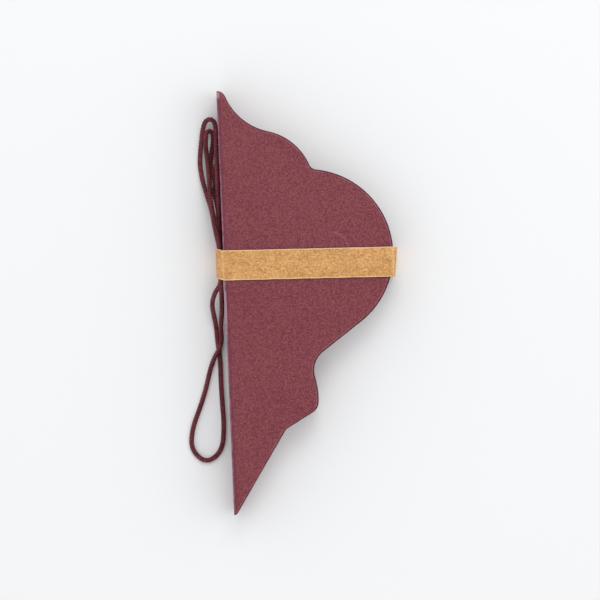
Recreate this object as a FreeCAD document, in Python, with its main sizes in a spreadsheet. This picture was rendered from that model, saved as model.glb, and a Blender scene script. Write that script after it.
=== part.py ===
# Folded paper drop ornament, shut flat and held by a paper band.
# The half drop leaves are glued to each other in a stack between two board covers.
# Frame: +X from the spine to the belly, +Y to the hanging tip, +Z out of the front cover.
# The ornament lies on its back at Z 0, and all sizes are in millimetres.

import FreeCAD, Part
import math
import os

import Sketcher

V = FreeCAD.Vector

# Driving sizes. A reach is measured from the spine and a drop from the top tip.
sizes = {
    # outline of a leaf
    "drop_height": 100.0,
    "tip_radius": 2.1,
    "flare_radius": 14.2,
    "shoulder_radius": 13.5,
    "shoulder_reach": 22.0,
    "shoulder_drop": 23.1,
    "notch_radius": 2.0,
    "belly_radius": 20.1,
    "belly_reach": 40.0,
    "belly_drop": 39.4,
    "waist_slope": 36.1,
    "waist_radius": 5.6,
    "bump_radius": 18.5,
    "bump_reach": 21.0,
    "bump_drop": 73.1,
    "skirt_radius": 3.0,
    "skirt_drop": 74.0,
    "skirt_slope": 30.0,
    "collar_radius": 1.5,
    "collar_reach": 14.1,
    "foot_radius": 1.1,
    # sheets of the stack
    "leaf_count": 44,
    "leaf_thickness": 0.16,
    "board_thickness": 1.0,
    "facing_thickness": 0.18,
    "cover_inset": 0.35,
    # magnets in the boards
    "magnet_diameter": 8.0,
    "magnet_clearance": 0.1,
    "magnet_reach": 25.6,
    "magnet_drop": 38.5,
    # paper band
    "band_thickness": 0.2,
    "band_width": 7.0,
    "band_drop": 38.0,
    "band_bulge": 0.8,
    "band_fold_radius": 0.8,
    "band_corner_radius": 0.5,
    "band_edge_gap": 0.15,
    "band_slant_height": 1.0,
    "bundle_width": 1.6,
    "lap_length": 10.0,
    "lap_reach": 12.0,
    "lap_ramp": 1.0,
    # hanging cord
    "cord_diameter": 1.2,
}

# Route of the hanging cord, from one glued end to the other: reach, drop and height.
cord_points = [
    # first end, glued to the spine, and the hidden leg down
    (0.0, -17.0, 2.2), (-0.75, -17.0, 2.2), (-1.42, -17.4, 2.05), (-1.78, -18.2, 1.8),
    (-1.6, -19.8, 1.4), (-1.25, -22.8, 0.9), (-0.95, -27.6, 0.65), (-0.74, -32.8, 0.74),
    (-0.8, -37.6, 1.03),
    # outer fold under the band, then up
    (-0.76, -42.6, 1.03), (-0.8, -44.0, 3.47), (-0.76, -42.6, 5.9), (-0.8, -37.4, 5.9),
    (-0.9, -29.6, 5.4), (-0.76, -21.4, 4.4), (-0.82, -14.2, 3.4), (-0.72, -9.9, 2.6),
    # outer turn at the top
    (-0.74, -7.7, 2.35), (-1.2, -6.4, 2.25), (-2.3, -6.0, 2.1), (-3.3, -6.7, 1.95),
    (-3.95, -8.7, 1.75), (-4.4, -12.0, 1.4), (-5.0, -16.2, 0.85), (-4.5, -20.4, 1.2),
    (-3.5, -24.0, 2.9), (-2.5, -27.6, 4.9), (-1.95, -31.0, 6.4), (-1.4, -34.2, 7.0),
    (-0.8, -37.6, 7.18), (-0.88, -41.0, 7.16), (-0.82, -45.5, 7.1),
    # outer strand below the band, round the closed end
    (-2.4, -47.2, 6.0), (-3.4, -50.0, 4.1), (-3.1, -52.6, 2.3), (-2.6, -55.6, 1.15),
    (-2.5, -59.0, 0.62), (-1.98, -63.6, 0.62), (-2.1, -68.6, 0.62), (-2.0, -73.2, 0.62),
    (-1.75, -79.6, 0.62), (-2.5, -85.3, 0.62), (-6.4, -88.1, 0.62), (-9.9, -84.6, 0.62),
    (-9.4, -79.6, 0.62), (-7.1, -74.2, 0.62), (-5.6, -69.8, 0.62), (-4.95, -67.3, 0.64),
    (-4.25, -64.9, 0.95), (-3.1, -62.4, 1.9), (-1.9, -60.6, 2.1), (-1.35, -58.4, 2.25),
    (-1.55, -55.8, 2.9), (-1.1, -52.8, 4.2), (-0.86, -49.6, 6.3), (-0.84, -46.0, 8.42),
    (-0.86, -41.4, 8.42), (-0.8, -37.6, 8.44),
    # inner turn at the top
    (-1.3, -34.4, 8.4), (-1.85, -31.0, 7.65), (-2.45, -27.6, 6.3), (-2.7, -23.8, 4.4),
    (-2.8, -20.0, 3.2), (-2.95, -16.4, 2.6), (-3.25, -13.2, 2.5), (-3.28, -11.4, 2.6),
    (-3.14, -9.9, 2.75), (-2.7, -8.9, 2.25), (-1.8, -8.9, 1.15), (-1.36, -10.2, 0.66),
    (-1.75, -12.6, 0.7), (-2.4, -15.9, 0.66), (-2.8, -19.8, 0.62), (-2.85, -24.2, 1.4),
    (-2.3, -28.4, 3.0), (-1.4, -32.4, 4.12), (-0.8, -36.6, 4.66),
    # inner fold under the band, then up to the second end
    (-0.76, -39.4, 4.7), (-0.78, -41.9, 4.67), (-0.8, -42.6, 3.47), (-0.78, -41.9, 2.27),
    (-0.76, -39.5, 2.26), (-0.8, -36.0, 2.24), (-0.74, -32.0, 1.98), (-0.98, -28.2, 1.95),
    (-1.3, -25.8, 2.0), (-1.68, -24.2, 2.25), (-1.78, -22.7, 2.52), (-1.4, -21.9, 2.64),
    (-0.75, -21.5, 2.67), (0.0, -21.5, 2.67),
]

doc = FreeCAD.newDocument("DropOrnament")
sheet = doc.addObject("Spreadsheet::Sheet", "Sizes")
for row, (alias, number) in enumerate(sizes.items(), start=1):
    sheet.set(f"A{row}", alias)
    sheet.set(f"B{row}", str(number))
    sheet.setAlias(f"B{row}", alias)
doc.recompute()

# Expressions shared by several pieces
spine_shift = "(Sizes.bundle_width - Sizes.belly_reach - Sizes.band_bulge) / 2"
tip_shift = "Sizes.drop_height / 2"
back_facing_height = "2 * Sizes.band_thickness"
back_board_height = f"{back_facing_height} + Sizes.facing_thickness"
leaf_height = f"{back_board_height} + Sizes.board_thickness"
front_board_height = f"{leaf_height} + Sizes.leaf_count * Sizes.leaf_thickness"
front_facing_height = f"{front_board_height} + Sizes.board_thickness"
stack_top = f"{front_facing_height} + Sizes.facing_thickness"

parts = []


def size(name):
    return float(sheet.get(name))


def place(piece, height, reach="0", drop="0"):
    """Bind the place of a piece, measured from the spine and the top tip."""
    piece.setExpression("Placement.Base.x", f"{spine_shift} + {reach}")
    piece.setExpression("Placement.Base.y", f"{tip_shift} - ({drop})")
    piece.setExpression("Placement.Base.z", height)
    parts.append(piece)


def add_body(label):
    body = doc.addObject("PartDesign::Body", label)
    body.Label = label
    return body


def add_sketch(body, name, role):
    plane = next(feature for feature in body.Origin.OriginFeatures if feature.Role == role)
    sketch = body.newObject("Sketcher::SketchObject", name)
    sketch.AttachmentSupport = [(plane, "")]
    sketch.MapMode = "FlatFace"
    return sketch


def add_pad(body, sketch, name, length):
    pad = body.newObject("PartDesign::Pad", name)
    pad.Profile = sketch
    pad.setExpression("Length", length)
    return pad


def bind(sketch, kind, *references, name, value, formula):
    """Add one dimension and tie it to the sheet."""
    index = sketch.addConstraint(Sketcher.Constraint(kind, *references, value))
    sketch.renameConstraint(index, name)
    sketch.setExpression(f"Constraints.{name}", formula)


# Outline of a leaf

def circles_meet(first, first_radius, second, second_radius, turn):
    """Point at the two distances from two centres, left (+1) or right (-1) of their line."""
    line = second - first
    apart = line.Length
    along = (apart**2 + first_radius**2 - second_radius**2) / (2 * apart)
    aside = math.sqrt(first_radius**2 - along**2)
    line.normalize()
    return first + line * along + V(-line.y, line.x, 0) * aside * turn


def outline_centres():
    """Centres of the arcs of the outline, in order from the top tip to the bottom tip."""
    top = V(0, -size("tip_radius"), 0)
    shoulder = V(size("shoulder_reach") - size("shoulder_radius"), -size("shoulder_drop"), 0)
    flare = circles_meet(top, size("tip_radius") + size("flare_radius"),
                         shoulder, size("flare_radius") + size("shoulder_radius"), 1)
    belly = V(size("belly_reach") - size("belly_radius"), -size("belly_drop"), 0)
    notch = circles_meet(shoulder, size("shoulder_radius") + size("notch_radius"),
                         belly, size("belly_radius") + size("notch_radius"), 1)
    bump = V(size("bump_reach") - size("bump_radius"), -size("bump_drop"), 0)
    slope = math.radians(size("waist_slope"))
    across = V(math.sin(slope), -math.cos(slope), 0)
    reach = (bump - belly).dot(across) - size("belly_radius") - size("waist_radius")
    along = math.sqrt((size("bump_radius") + size("waist_radius"))**2 - reach**2)
    waist = bump - across * reach + V(math.cos(slope), math.sin(slope), 0) * along
    skirt_gap = size("bump_radius") - size("skirt_radius")
    skirt_down = size("skirt_drop") - size("bump_drop")
    skirt = bump + V(math.sqrt(skirt_gap**2 - skirt_down**2), -skirt_down, 0)
    slope = math.radians(size("skirt_slope"))
    down = (size("skirt_radius") + size("collar_radius")) / math.cos(slope)
    collar_reach = size("collar_reach")
    collar = V(collar_reach, skirt.y - down - (skirt.x - collar_reach) * math.tan(slope), 0)
    bottom = V(0, size("foot_radius") - size("drop_height"), 0)
    return [top, flare, shoulder, notch, belly, waist, bump, skirt, collar, bottom]


# Arcs of the outline from the top tip to the bottom tip: the size of each radius,
# and 1 where the edge bulges or -1 where it is hollow
outline_arcs = [("tip_radius", 1), ("flare_radius", -1), ("shoulder_radius", 1),
                ("notch_radius", -1), ("belly_radius", 1), ("waist_radius", -1),
                ("bump_radius", 1), ("skirt_radius", 1), ("collar_radius", -1), ("foot_radius", 1)]
# Place of each arc in that list
top, flare, shoulder, notch, belly, waist, bump, skirt, collar, bottom = range(len(outline_arcs))
straight_after = (belly, skirt, collar)


def tangent_ends(first, first_bend, second, second_bend):
    """Ends of the common tangent of two arcs, whose bends are radii with a sign."""
    line = second - first
    rise = max(-1.0, min(1.0, (second_bend - first_bend) / line.Length))
    angle = math.atan2(line.y, line.x) + math.asin(rise)
    inward = V(math.sin(angle), -math.cos(angle), 0)
    return first - inward * first_bend, second - inward * second_bend


def arc_between(centre, radius, start, end):
    start_angle = math.atan2(start.y - centre.y, start.x - centre.x)
    end_angle = math.atan2(end.y - centre.y, end.x - centre.x)
    if end_angle < start_angle:
        end_angle += 2 * math.pi
    return Part.ArcOfCircle(Part.Circle(centre, V(0, 0, 1), radius), start_angle, end_angle)


def sketch_outline(body, inset=0.0, inset_formula="0"):
    """Half drop outline, fully constrained, moved inward by the inset along its curved side."""
    sketch = add_sketch(body, "Outline", "XY_Plane")
    centres = outline_centres()
    bends = [size(name) * side - inset for name, side in outline_arcs]
    entries = [V(0, -inset, 0)]
    exits = []
    for index in range(len(outline_arcs) - 1):
        leave, arrive = tangent_ends(centres[index], bends[index],
                                     centres[index + 1], bends[index + 1])
        exits.append(leave)
        entries.append(arrive)
    exits.append(V(0, inset - size("drop_height"), 0))
    arcs = []
    for centre, bend, entry, leave in zip(centres, bends, entries, exits):
        start, end = (leave, entry) if bend > 0 else (entry, leave)
        arcs.append(sketch.addGeometry(arc_between(centre, abs(bend), start, end), False))
    entry_ends = [2 if bend > 0 else 1 for bend in bends]
    exit_ends = [3 - end for end in entry_ends]
    straights = {}
    for index in range(len(arcs) - 1):
        following = index + 1
        leaving = (arcs[index], exit_ends[index])
        arriving = (arcs[following], entry_ends[following])
        if index in straight_after:
            line = sketch.addGeometry(Part.LineSegment(entries[following], exits[index]), False)
            sketch.addConstraint(Sketcher.Constraint("Tangent", *leaving, line, 2))
            sketch.addConstraint(Sketcher.Constraint("Tangent", *arriving, line, 1))
            straights[index] = line
        else:
            sketch.addConstraint(Sketcher.Constraint("Tangent", *leaving, *arriving))
    spine = sketch.addGeometry(Part.LineSegment(exits[-1], entries[0]), False)
    sketch.addConstraint([
        Sketcher.Constraint("Coincident", arcs[bottom], exit_ends[bottom], spine, 1),
        Sketcher.Constraint("Coincident", arcs[top], entry_ends[top], spine, 2),
        Sketcher.Constraint("Vertical", spine),
        Sketcher.Constraint("PointOnObject", spine, 1, -2),
        Sketcher.Constraint("PointOnObject", arcs[top], 3, -2),
        Sketcher.Constraint("PointOnObject", arcs[bottom], 3, -2)])
    for index, (name, side) in enumerate(outline_arcs):
        sign = "-" if side > 0 else "+"
        bind(sketch, "Radius", arcs[index], name=f"bend_{index}", value=abs(bends[index]),
             formula=f"Sizes.{name} {sign} {inset_formula}")
    bind_centres(sketch, arcs, centres)
    for index, name in ((belly, "waist_slope"), (skirt, "skirt_slope")):
        bind(sketch, "Angle", straights[index], name=name, value=math.radians(size(name)),
             formula=f"Sizes.{name}")
    return sketch


def bind_centres(sketch, arcs, centres):
    """Tie the centres of the arcs that are not already held by their neighbours."""
    reaches = {
        shoulder: "Sizes.shoulder_reach - Sizes.shoulder_radius",
        belly: "Sizes.belly_reach - Sizes.belly_radius",
        bump: "Sizes.bump_reach - Sizes.bump_radius",
        collar: "Sizes.collar_reach",
    }
    drops = {
        top: "Sizes.tip_radius",
        shoulder: "Sizes.shoulder_drop",
        belly: "Sizes.belly_drop",
        bump: "Sizes.bump_drop",
        skirt: "Sizes.skirt_drop",
        bottom: "Sizes.drop_height - Sizes.foot_radius",
    }
    for index, formula in reaches.items():
        bind(sketch, "DistanceX", -1, 1, arcs[index], 3, name=f"reach_{index}",
             value=centres[index].x, formula=formula)
    for index, formula in drops.items():
        bind(sketch, "DistanceY", arcs[index], 3, -1, 1, name=f"drop_{index}",
             value=-centres[index].y, formula=formula)


# Sheets of the stack

def make_leaf(number):
    body = add_body(f"leaf_{number:02d}")
    add_pad(body, sketch_outline(body), "Sheet", "Sizes.leaf_thickness")
    place(body, f"{leaf_height} + {number - 1} * Sizes.leaf_thickness")


def make_facing(side, height):
    """Coloured paper glued over the outside of a cover board."""
    body = add_body(f"{side}_facing")
    outline = sketch_outline(body, size("cover_inset"), "Sizes.cover_inset")
    add_pad(body, outline, "Sheet", "Sizes.facing_thickness")
    place(body, height)


def make_board(side, height):
    """Stiff cover board with a hole right through for its magnet."""
    body = add_body(f"{side}_board")
    outline = sketch_outline(body, size("cover_inset"), "Sizes.cover_inset")
    add_pad(body, outline, "Board", "Sizes.board_thickness")
    seat = add_sketch(body, "MagnetSeat", "XY_Plane")
    centre = V(size("magnet_reach"), -size("magnet_drop"), 0)
    radius = size("magnet_diameter") / 2 + size("magnet_clearance")
    circle = seat.addGeometry(Part.Circle(centre, V(0, 0, 1), radius), False)
    bind(seat, "Radius", circle, name="seat_radius", value=radius,
         formula="Sizes.magnet_diameter / 2 + Sizes.magnet_clearance")
    bind(seat, "DistanceX", -1, 1, circle, 3, name="reach", value=centre.x,
         formula="Sizes.magnet_reach")
    bind(seat, "DistanceY", circle, 3, -1, 1, name="drop", value=-centre.y,
         formula="Sizes.magnet_drop")
    hole = body.newObject("PartDesign::Pocket", "MagnetHole")
    hole.Profile = seat
    hole.Reversed = True
    hole.setExpression("Length", "Sizes.board_thickness")
    place(body, height)


def make_magnet(side, height):
    magnet = doc.addObject("Part::Cylinder", f"{side}_magnet")
    magnet.Label = f"{side}_magnet"
    magnet.setExpression("Radius", "Sizes.magnet_diameter / 2")
    magnet.setExpression("Height", "Sizes.board_thickness")
    place(magnet, height, reach="Sizes.magnet_reach", drop="Sizes.magnet_drop")


# Paper band

def sketch_ring(body):
    """Section of the band: an inner and an outer line round the stack and the cord."""
    sketch = add_sketch(body, "Ring", "XZ_Plane")
    thickness = size("band_thickness")
    left = -size("bundle_width")
    right = size("belly_reach") + size("band_bulge")
    low = 2 * thickness
    stack = size("leaf_count") * size("leaf_thickness") + 2 * (
        size("board_thickness") + size("facing_thickness"))
    high = low + stack
    slant_top = V(-size("band_edge_gap"), high, 0)
    slant_end = V(left, high - size("band_slant_height"), 0)
    corners = [V(left, low, 0), slant_end, slant_top, V(right, high, 0), V(right, low, 0)]
    radii = ["band_corner_radius", "band_corner_radius", "band_corner_radius",
             "band_fold_radius", "band_fold_radius"]
    inner = ring_line(sketch, corners, [size(name) for name in radii], 0.0)
    outer = ring_line(sketch, corners, [size(name) for name in radii], thickness)
    for index, name in enumerate(radii):
        bind(sketch, "Radius", inner[index][0], name=f"inner_{index}", value=size(name),
             formula=f"Sizes.{name}")
        bind(sketch, "Radius", outer[index][0], name=f"outer_{index}",
             value=size(name) + thickness, formula=f"Sizes.{name} + Sizes.band_thickness")
        sketch.addConstraint(Sketcher.Constraint("Coincident", inner[index][0], 3,
                                                 outer[index][0], 3))
    lines = [line for arc, line in inner]
    sketch.addConstraint([Sketcher.Constraint("Vertical", lines[0]),
                          Sketcher.Constraint("Horizontal", lines[2]),
                          Sketcher.Constraint("Vertical", lines[3]),
                          Sketcher.Constraint("Horizontal", lines[4])])
    bind(sketch, "DistanceX", lines[0], 1, -1, 1, name="bundle", value=-left,
         formula="Sizes.bundle_width")
    bind(sketch, "DistanceX", -1, 1, lines[3], 1, name="reach", value=right,
         formula="Sizes.belly_reach + Sizes.band_bulge")
    bind(sketch, "DistanceY", -1, 1, lines[4], 1, name="low", value=low,
         formula=back_facing_height)
    bind(sketch, "DistanceY", -1, 1, lines[2], 1, name="high", value=high,
         formula=stack_top)
    bind_slant(sketch, lines, slant_end, slant_top)
    return sketch


def bind_slant(sketch, lines, slant_end, slant_top):
    """Hold the slanting run by its two sharp corners, kept as construction points."""
    end = sketch.addGeometry(Part.Point(slant_end), True)
    start = sketch.addGeometry(Part.Point(slant_top), True)
    sketch.addConstraint([Sketcher.Constraint("PointOnObject", end, 1, lines[0]),
                          Sketcher.Constraint("PointOnObject", end, 1, lines[1]),
                          Sketcher.Constraint("PointOnObject", start, 1, lines[1]),
                          Sketcher.Constraint("PointOnObject", start, 1, lines[2])])
    bind(sketch, "DistanceX", start, 1, -1, 1, name="edge_gap", value=-slant_top.x,
         formula="Sizes.band_edge_gap")
    bind(sketch, "DistanceY", end, 1, start, 1, name="slant_height",
         value=slant_top.y - slant_end.y, formula="Sizes.band_slant_height")


def ring_line(sketch, corners, radii, offset):
    """Rounded closed line at an offset outside the corners: an arc and a line for each."""
    count = len(corners)
    centres = []
    for index, corner in enumerate(corners):
        back = (corners[index - 1] - corner).normalize()
        ahead = (corners[(index + 1) % count] - corner).normalize()
        half = math.acos(back.dot(ahead)) / 2
        centres.append(corner + (back + ahead).normalize() * (radii[index] / math.sin(half)))
    bends = [radius + offset for radius in radii]
    ends = [tangent_ends(centres[index], bends[index],
                         centres[(index + 1) % count], bends[(index + 1) % count])
            for index in range(count)]
    arcs = []
    for index in range(count):
        arc = arc_between(centres[index], bends[index], ends[index][0], ends[index - 1][1])
        arcs.append(sketch.addGeometry(arc, False))
    pairs = []
    for index in range(count):
        line = sketch.addGeometry(Part.LineSegment(*ends[index]), False)
        following = (index + 1) % count
        sketch.addConstraint(Sketcher.Constraint("Tangent", arcs[index], 1, line, 1))
        sketch.addConstraint(Sketcher.Constraint("Tangent", arcs[following], 2, line, 2))
        pairs.append((arcs[index], line))
    return pairs


def sketch_lap(body):
    """Section of the glued lap under the band, with a ramp where it climbs over the end."""
    sketch = add_sketch(body, "Lap", "XZ_Plane")
    thickness = size("band_thickness")
    start = size("lap_reach")
    end = start + size("lap_length")
    corners = [V(start, 0, 0), V(end, 0, 0), V(end + size("lap_ramp"), thickness, 0),
               V(start, thickness, 0)]
    lines = [sketch.addGeometry(Part.LineSegment(corners[index], corners[(index + 1) % 4]), False)
             for index in range(4)]
    sketch.addConstraint([Sketcher.Constraint("Coincident", lines[index], 2,
                                              lines[(index + 1) % 4], 1) for index in range(4)])
    sketch.addConstraint([Sketcher.Constraint("Horizontal", lines[0]),
                          Sketcher.Constraint("Horizontal", lines[2]),
                          Sketcher.Constraint("Vertical", lines[3]),
                          Sketcher.Constraint("PointOnObject", lines[0], 1, -1)])
    bind(sketch, "DistanceX", -1, 1, lines[0], 1, name="reach", value=start,
         formula="Sizes.lap_reach")
    bind(sketch, "DistanceX", lines[0], 1, lines[0], 2, name="length", value=end - start,
         formula="Sizes.lap_length")
    bind(sketch, "DistanceX", lines[1], 1, lines[1], 2, name="ramp", value=size("lap_ramp"),
         formula="Sizes.lap_ramp")
    bind(sketch, "DistanceY", lines[1], 1, lines[1], 2, name="thickness", value=thickness,
         formula="Sizes.band_thickness")
    return sketch


def make_band():
    body = add_body("paper_band")
    add_pad(body, sketch_ring(body), "Band", "Sizes.band_width")
    add_pad(body, sketch_lap(body), "GluedLap", "Sizes.band_width")
    place(body, "0", drop="Sizes.band_drop")


# Hanging cord

def cord_wire(points):
    """Straight runs joined by tangent arcs, each as large as its two runs allow."""
    edges = []
    radii = []
    start = points[0]
    for before, corner, after in zip(points, points[1:], points[2:]):
        back = before - corner
        ahead = after - corner
        run = 0.45 * min(back.Length, ahead.Length)
        back.normalize()
        ahead.normalize()
        turn = math.pi - back.getAngle(ahead)
        radii.append(run / math.tan(turn / 2))
        middle_way = (back + ahead).normalize()
        centre = corner + middle_way * (radii[-1] / math.cos(turn / 2))
        arc_start = corner + back * run
        arc_end = corner + ahead * run
        edges.append(Part.LineSegment(start, arc_start).toShape())
        edges.append(Part.Arc(arc_start, centre - middle_way * radii[-1], arc_end).toShape())
        start = arc_end
    edges.append(Part.LineSegment(start, points[-1]).toShape())
    return Part.Wire(edges), radii


def make_cord():
    """One round cord, folded double, with both ends glued to the spine near the top tip."""
    points = [V(*point) for point in cord_points]
    wire, radii = cord_wire(points)
    radius = size("cord_diameter") / 2
    section = Part.Wire(Part.Circle(points[0], points[1] - points[0], radius).toShape())
    cord = doc.addObject("Part::Feature", "hanging_cord")
    cord.Label = "hanging_cord"
    cord.Shape = wire.makePipeShell([section], True, True)
    place(cord, "0")
    volume = math.pi * radius**2 * wire.Length
    print("cord length", round(wire.Length, 1), "volume ratio",
          round(cord.Shape.Volume / volume, 4))
    print("cord radii", [round(value, 2) for value in radii])


def check_document():
    for item in doc.Objects:
        if "Invalid" in item.State or "Error" in item.State:
            raise RuntimeError(f"{item.Label} failed: {item.State}")
        if item.isDerivedFrom("Sketcher::SketchObject") and not item.FullyConstrained:
            raise RuntimeError(f"{item.Label} is not fully constrained")
    for piece in parts:
        if piece.Shape.isNull() or not piece.Shape.isValid():
            raise RuntimeError(f"{piece.Label} has no valid shape")
        if len(piece.Shape.Solids) != 1:
            raise RuntimeError(f"{piece.Label} is not one solid")


make_facing("back", back_facing_height)
make_board("back", back_board_height)
make_magnet("back", back_board_height)
for leaf_number in range(1, int(size("leaf_count")) + 1):
    make_leaf(leaf_number)
make_board("front", front_board_height)
make_magnet("front", front_board_height)
make_facing("front", front_facing_height)
make_band()
make_cord()
doc.recompute()
check_document()

os.makedirs("parts", exist_ok=True)
for piece in parts:
    piece.Shape.exportStep(f"parts/{piece.Label}.step")
    print(piece.Label, round(piece.Shape.Volume, 3))
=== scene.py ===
import math
import random

import bmesh
import bpy
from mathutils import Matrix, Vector, noise


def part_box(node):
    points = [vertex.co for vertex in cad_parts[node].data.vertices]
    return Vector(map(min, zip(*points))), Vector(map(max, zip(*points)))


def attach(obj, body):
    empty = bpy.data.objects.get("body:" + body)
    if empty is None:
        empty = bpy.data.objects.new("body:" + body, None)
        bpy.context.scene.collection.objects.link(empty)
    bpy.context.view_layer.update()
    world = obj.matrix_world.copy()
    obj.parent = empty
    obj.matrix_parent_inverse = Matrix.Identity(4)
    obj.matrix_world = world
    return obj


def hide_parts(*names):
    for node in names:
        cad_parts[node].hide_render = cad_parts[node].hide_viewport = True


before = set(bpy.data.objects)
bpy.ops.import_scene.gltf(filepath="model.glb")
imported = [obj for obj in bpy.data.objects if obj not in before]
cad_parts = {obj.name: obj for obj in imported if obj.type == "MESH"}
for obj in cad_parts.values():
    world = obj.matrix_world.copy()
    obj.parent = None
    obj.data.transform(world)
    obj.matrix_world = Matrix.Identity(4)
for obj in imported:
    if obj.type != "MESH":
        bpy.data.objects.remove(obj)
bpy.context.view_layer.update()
mm = 0.001                      # one millimetre, in metres
cornerWithin = 0.001 * mm       # points of a solid closer than this are one corner
levelWithin = 0.01 * mm         # points whose heights are closer than this are level
flatWithin = 0.2                # degrees between faces that make one flat side
grainSpan = (0.3, 0.7)          # most of a grain pattern's values lie between these

leafNames = sorted(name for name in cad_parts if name.startswith("leaf_"))
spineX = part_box(leafNames[0])[0].x      # plane of the glued spine
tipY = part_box(leafNames[-1])[1].y       # end of the hanging tip


def linkObject(name, data):
    piece = bpy.data.objects.new(name, data)
    bpy.context.scene.collection.objects.link(piece)
    return piece


# Turns a bmesh into a piece with smooth faces and sharp edges past an angle
def finishPiece(name, shape, paint, sharpFrom=35):
    data = bpy.data.meshes.new(name)
    shape.to_mesh(data)
    shape.free()
    data.materials.append(paint)
    data.shade_smooth()
    data.set_sharp_from_angle(angle=math.radians(sharpFrom))
    return linkObject(name, data)


def dress(piece, slot, *nodes):
    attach(piece, "root")
    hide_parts(*nodes)


# A clean copy of a solid's mesh, with one face for each flat side
def mergedCopy(node):
    shape = bmesh.new()
    shape.from_mesh(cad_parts[node].data)
    bmesh.ops.remove_doubles(shape, verts=shape.verts, dist=cornerWithin)
    bmesh.ops.dissolve_limit(shape, angle_limit=math.radians(flatWithin), verts=shape.verts,
                             edges=shape.edges)
    return shape


def splitLongEdges(shape, longest):
    for edge in [edge for edge in shape.edges if edge.calc_length() > longest]:
        cuts = int(edge.calc_length() / longest)
        bmesh.ops.subdivide_edges(shape, edges=[edge], cuts=cuts)


# What an operator made, of one kind: its points, edges or faces
def onlyKind(items, kind):
    return [item for item in items if isinstance(item, kind)]


def held(share):
    return min(1.0, max(0.0, share))


# A share held between 0 and 1, with a soft start and end
def eased(share):
    share = held(share)
    return share * share * (3 - 2 * share)


# Links a pattern to a socket, or sets the socket to a fixed value
def fillSocket(tree, socket, value):
    if isinstance(value, bpy.types.NodeSocket):
        tree.links.new(value, socket)
    else:
        socket.default_value = value


def addNode(tree, kind, settings=None, **inputs):
    made = tree.nodes.new(kind)
    for key, value in (settings or {}).items():
        setattr(made, key, value)
    for key, value in inputs.items():
        fillSocket(tree, made.inputs[key], value)
    return made


# One step of arithmetic on patterns, places or fixed numbers
def compute(tree, operation, *values, kind="ShaderNodeMath"):
    step = addNode(tree, kind, {"operation": operation})
    for socket, value in zip(step.inputs, values):
        fillSocket(tree, socket, value)
    return step.outputs["Value"]


def strongest(tree, first, second):
    return compute(tree, "MAXIMUM", first, second)


def product(tree, first, second):
    return compute(tree, "MULTIPLY", first, second)


# Sum of patterns, each with its weight
def addUp(tree, *weighted, start=0.0):
    total = start
    for pattern, weight in weighted:
        total = compute(tree, "MULTIPLY_ADD", pattern, weight, total)
    return total


# How far a distance is from one value, on either side of it
def apartFrom(tree, distance, value):
    return compute(tree, "ABSOLUTE", addUp(tree, (distance, 1.0), start=-value))


def mixColours(tree, amount, first, second):
    mix = addNode(tree, "ShaderNodeMix", {"data_type": "RGBA"})
    for index, value in ((0, amount), (6, first), (7, second)):
        fillSocket(tree, mix.inputs[index], value)
    return mix.outputs[2]


# Maps low..high of a pattern to start..end, held at both ends
def fadeBetween(tree, value, low, high, start=0.0, end=1.0):
    fade = addNode(tree, "ShaderNodeMapRange", Value=value)
    for socket, number in zip(fade.inputs[1:5], (low, high, start, end)):
        socket.default_value = number
    return fade.outputs[0]


# At its strength as far as one distance, and gone at the next
def fadeOut(tree, distance, full, gone, strength=1.0):
    return fadeBetween(tree, distance, full, gone, strength, 0.0)


# A new material, with its fixed values set on the shader's own sockets
def newPaint(name, finish):
    paint = bpy.data.materials.new(name)
    paint.use_nodes = True
    shader = paint.node_tree.nodes["Principled BSDF"]
    for socket, value in finish.items():
        shader.inputs[socket].default_value = value
    return paint, paint.node_tree, shader


def mapped(tree, place, **changes):
    return addNode(tree, "ShaderNodeMapping", Vector=place, **changes).outputs[0]


def placeInMillimetres(tree):
    coordinates = addNode(tree, "ShaderNodeTexCoord")
    return mapped(tree, coordinates.outputs["Object"], Scale=(1 / mm, 1 / mm, 1 / mm))


def splitPlace(tree, place):
    return addNode(tree, "ShaderNodeSeparateXYZ", Vector=place).outputs


# The share that a piece's own attribute gives each point
def marked(tree, attribute):
    return addNode(tree, "ShaderNodeAttribute", {"attribute_name": attribute}).outputs["Fac"]


def grain(tree, place, perMillimetre, detail=3.0, roughness=0.6):
    pattern = addNode(tree, "ShaderNodeTexNoise", Vector=place, Scale=perMillimetre,
                      Detail=detail, Roughness=roughness)
    return pattern.outputs[0]


# Colour that goes from deep through middle to pale as a pattern rises
def threeTones(tree, tone, colours):
    low, middle, high = colours["toneSpread"]
    dark = mixColours(tree, fadeBetween(tree, tone, low, middle),
                      colours["deep"], colours["middle"])
    return mixColours(tree, fadeBetween(tree, tone, middle, high), dark, colours["pale"])


def addBump(tree, shader, height, strength, depth):
    bump = addNode(tree, "ShaderNodeBump", Height=height, Strength=strength, Distance=depth)
    tree.links.new(bump.outputs[0], shader.inputs["Normal"])


view = {
    "lens": 150,          # long lens, so that the stack's sides stay out of sight
    "sensor": 36,
    "span": 0.141,        # width of the picture at the front cover
    "lean": 2.4,          # degrees that the ornament leans to the left
    "aim": (-2.0 * mm, 0.0, 10.0 * mm),
    "clip": (0.01, 20),   # nearest and furthest that the camera sees
}


def makeCamera():
    lens = bpy.data.cameras.new("viewCamera")
    lens.lens = view["lens"]
    lens.sensor_width = view["sensor"]
    lens.clip_start, lens.clip_end = view["clip"]
    camera = linkObject("viewCamera", lens)
    x, y, z = view["aim"]
    camera.location = (x, y, z + view["span"] * view["lens"] / view["sensor"])
    camera.rotation_euler = (0, 0, -math.radians(view["lean"]))
    bpy.context.scene.camera = camera
    print("camera:", round(camera.location.z / mm), "mm above the floor")


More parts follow.
